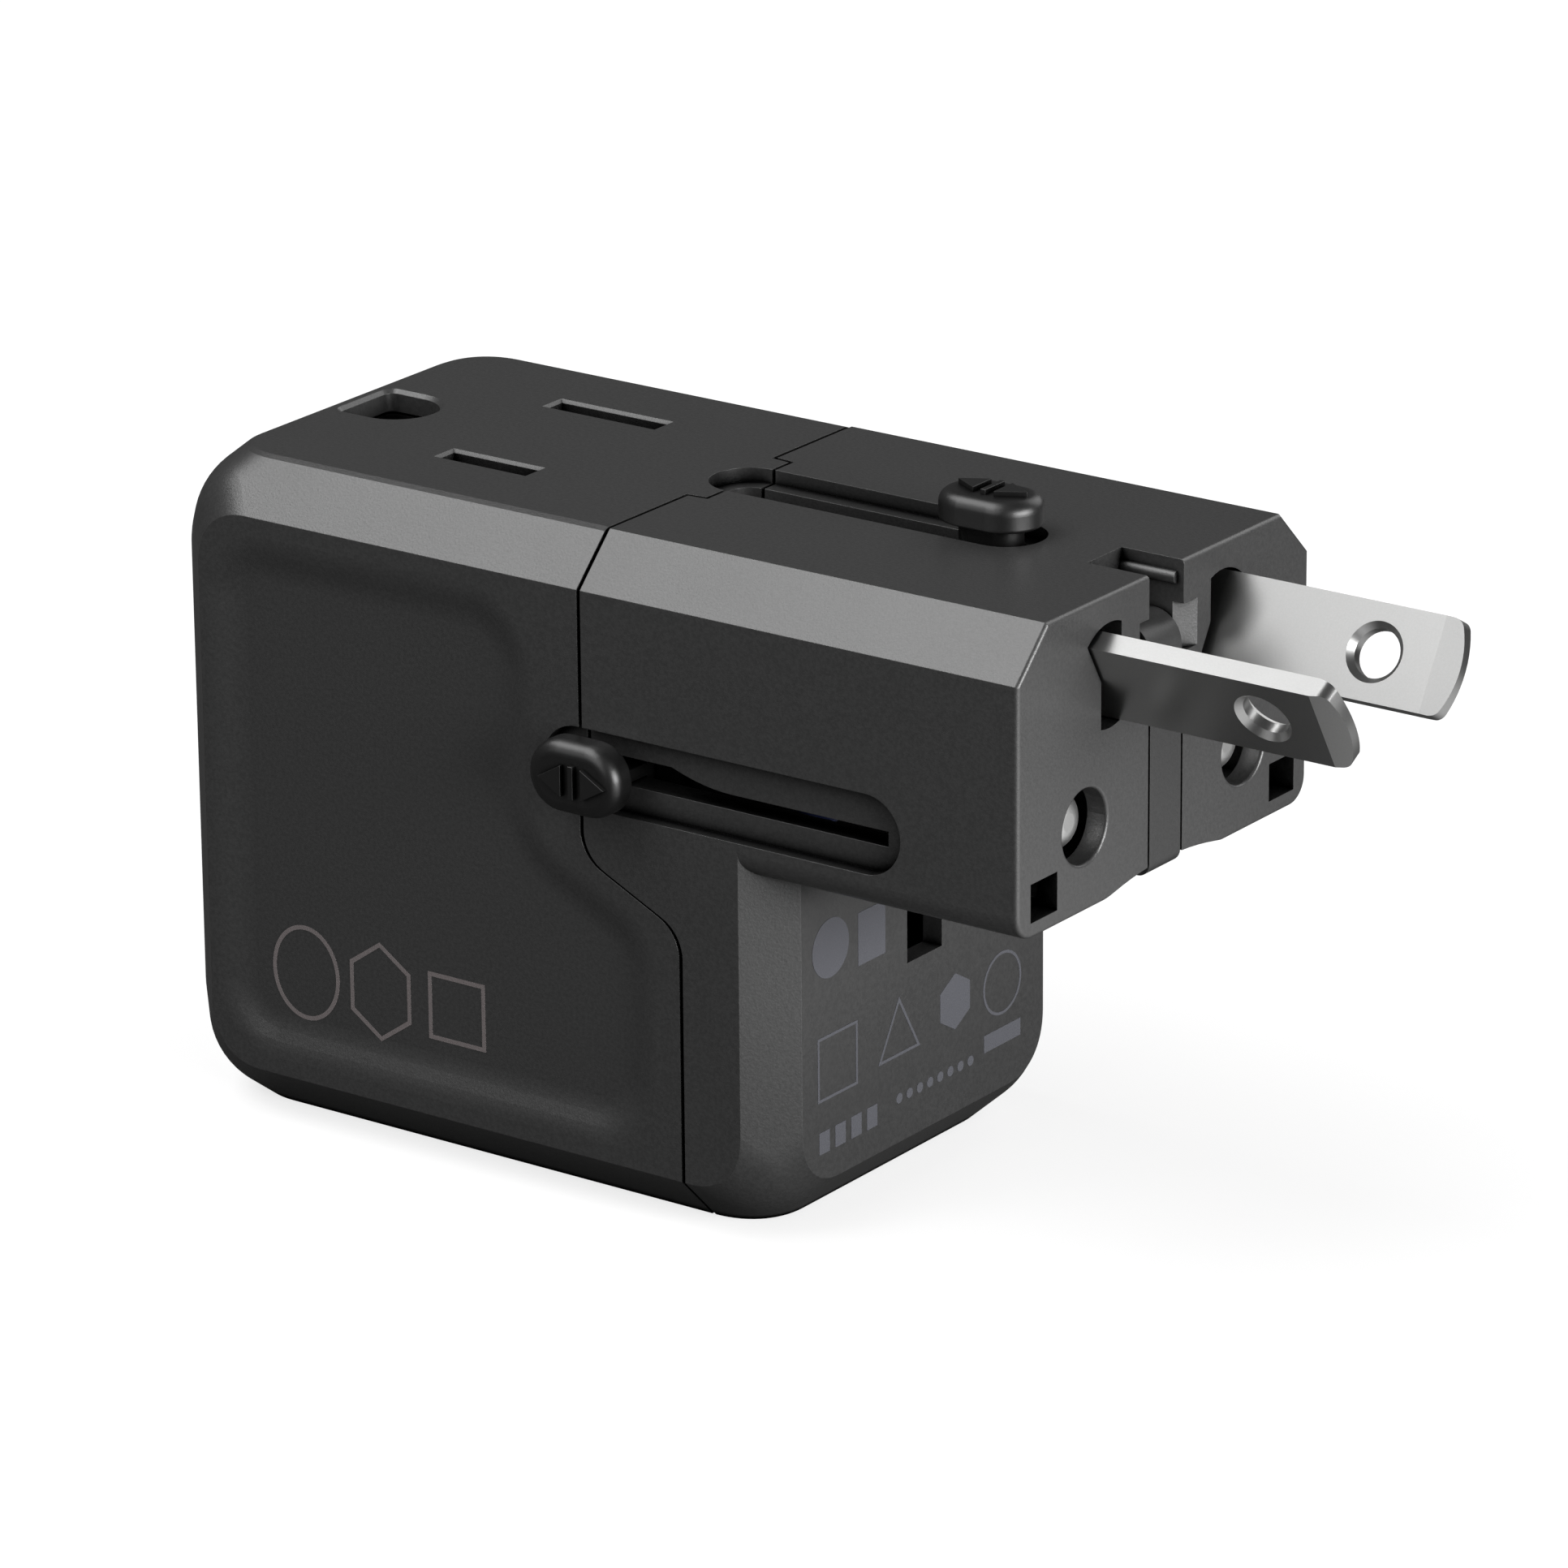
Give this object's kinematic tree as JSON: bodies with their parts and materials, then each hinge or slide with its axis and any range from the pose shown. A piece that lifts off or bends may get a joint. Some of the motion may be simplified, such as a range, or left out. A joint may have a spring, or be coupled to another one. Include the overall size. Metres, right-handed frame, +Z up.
{
  "type": "travel adapter",
  "caption": "Universal travel adapter with sliding US/AU blades, sliding EU pins, a folding earth tongue, an outlet and a built-in USB charger.",
  "frame": {"origin": "on the flat bottom of the body, on its middle plane, under the parting line of the two casings at the top", "axes": "+X towards the end where the plugs come out, +Y away from the broad side with the EU slider, +Z up, towards the face with the outlet"},
  "size_m": [0.0853, 0.0355, 0.0476],
  "materials": {
    "casing": "fine textured black polycarbonate",
    "knob": "smooth satin black",
    "tongue": "fine textured black",
    "inner_plastic": "matte black, moulded",
    "nickel": "satin nickel plating",
    "contact_brass": "bare phosphor bronze and brass",
    "spring_steel": "bright drawn wire",
    "insulation": "fibre sheet",
    "board": "green solder mask",
    "ferrite": "sintered ferrite",
    "winding_tape": "yellow insulating tape",
    "capacitor_sleeve": "heat-shrink sleeve",
    "ceramic": "ceramic tube"
  },
  "bodies": {
    "housing": {"socket_casing": "casing", "plug_casing": "casing", "socket_frame": "inner_plastic", "live_contact": "contact_brass", "neutral_contact": "contact_brass", "live_rail": "contact_brass", "neutral_rail": "contact_brass", "shutter_spring": "spring_steel", "tongue_pin": "spring_steel", "insulating_plate": "insulation", "main_board": "board", "board_screws": "spring_steel", "transformer_core": "ferrite", "transformer_winding": "winding_tape", "mains_capacitors": "capacitor_sleeve", "output_capacitor": "capacitor_sleeve", "choke": "ferrite", "rectifier": "inner_plastic", "fuse": "ceramic", "fuse_clips": "contact_brass", "usb_a_shell": "nickel", "usb_a_tongue": "inner_plastic", "usb_c_shell": "nickel", "usb_c_tongue": "inner_plastic"},
    "shutter": {"socket_shutter": "inner_plastic"},
    "us_slider": {"us_carriage": "inner_plastic", "us_brushes": "contact_brass", "us_knob_spring": "spring_steel"},
    "us_button": {"us_knob": "knob"},
    "front_blade": {"blade_front": "nickel", "blade_holder_front": "inner_plastic"},
    "back_blade": {"blade_back": "nickel", "blade_holder_back": "inner_plastic"},
    "eu_slider": {"eu_carriage": "inner_plastic", "eu_pin_front": "nickel", "eu_pin_back": "nickel", "eu_brushes": "contact_brass", "eu_knob_spring": "spring_steel"},
    "eu_button": {"eu_knob": "knob"},
    "tongue": {"earth_tongue": "tongue"}
  },
  "joints": [
    {"name": "us_slide", "type": "slide", "parent": "housing", "child": "us_slider", "axis": [-1, 0, 0], "range_m": [0, 0.0177]},
    {"name": "us_press", "type": "slide", "parent": "us_slider", "child": "us_button", "axis": [0, 0, -1], "range_m": [0, 0.0012], "stiffness_N_per_m": 600, "deforming": ["us_knob_spring"]},
    {"name": "front_blade_turn", "type": "hinge", "parent": "us_slider", "child": "front_blade", "pos_m": [0.0334, -0.00636, 0.03963], "axis": [-1, 0, 0], "range_deg": [0, 30]},
    {"name": "back_blade_turn", "type": "hinge", "parent": "us_slider", "child": "back_blade", "pos_m": [0.0334, 0.00636, 0.03963], "axis": [1, 0, 0], "range_deg": [0, 30]},
    {"name": "eu_slide", "type": "slide", "parent": "housing", "child": "eu_slider", "axis": [1, 0, 0], "range_m": [0, 0.0199]},
    {"name": "eu_press", "type": "slide", "parent": "eu_slider", "child": "eu_button", "axis": [0, 1, 0], "range_m": [0, 0.0012], "stiffness_N_per_m": 600, "deforming": ["eu_knob_spring"]},
    {"name": "tongue_fold", "type": "hinge", "parent": "housing", "child": "tongue", "pos_m": [0.0313, 0, 0.0394], "axis": [0, -1, 0], "range_deg": [0, 90]},
    {"name": "shutter_slide", "type": "slide", "parent": "housing", "child": "shutter", "axis": [0, 1, 0], "range_m": [0, 0.003], "stiffness_N_per_m": 150, "deforming": ["shutter_spring"]}
  ]
}
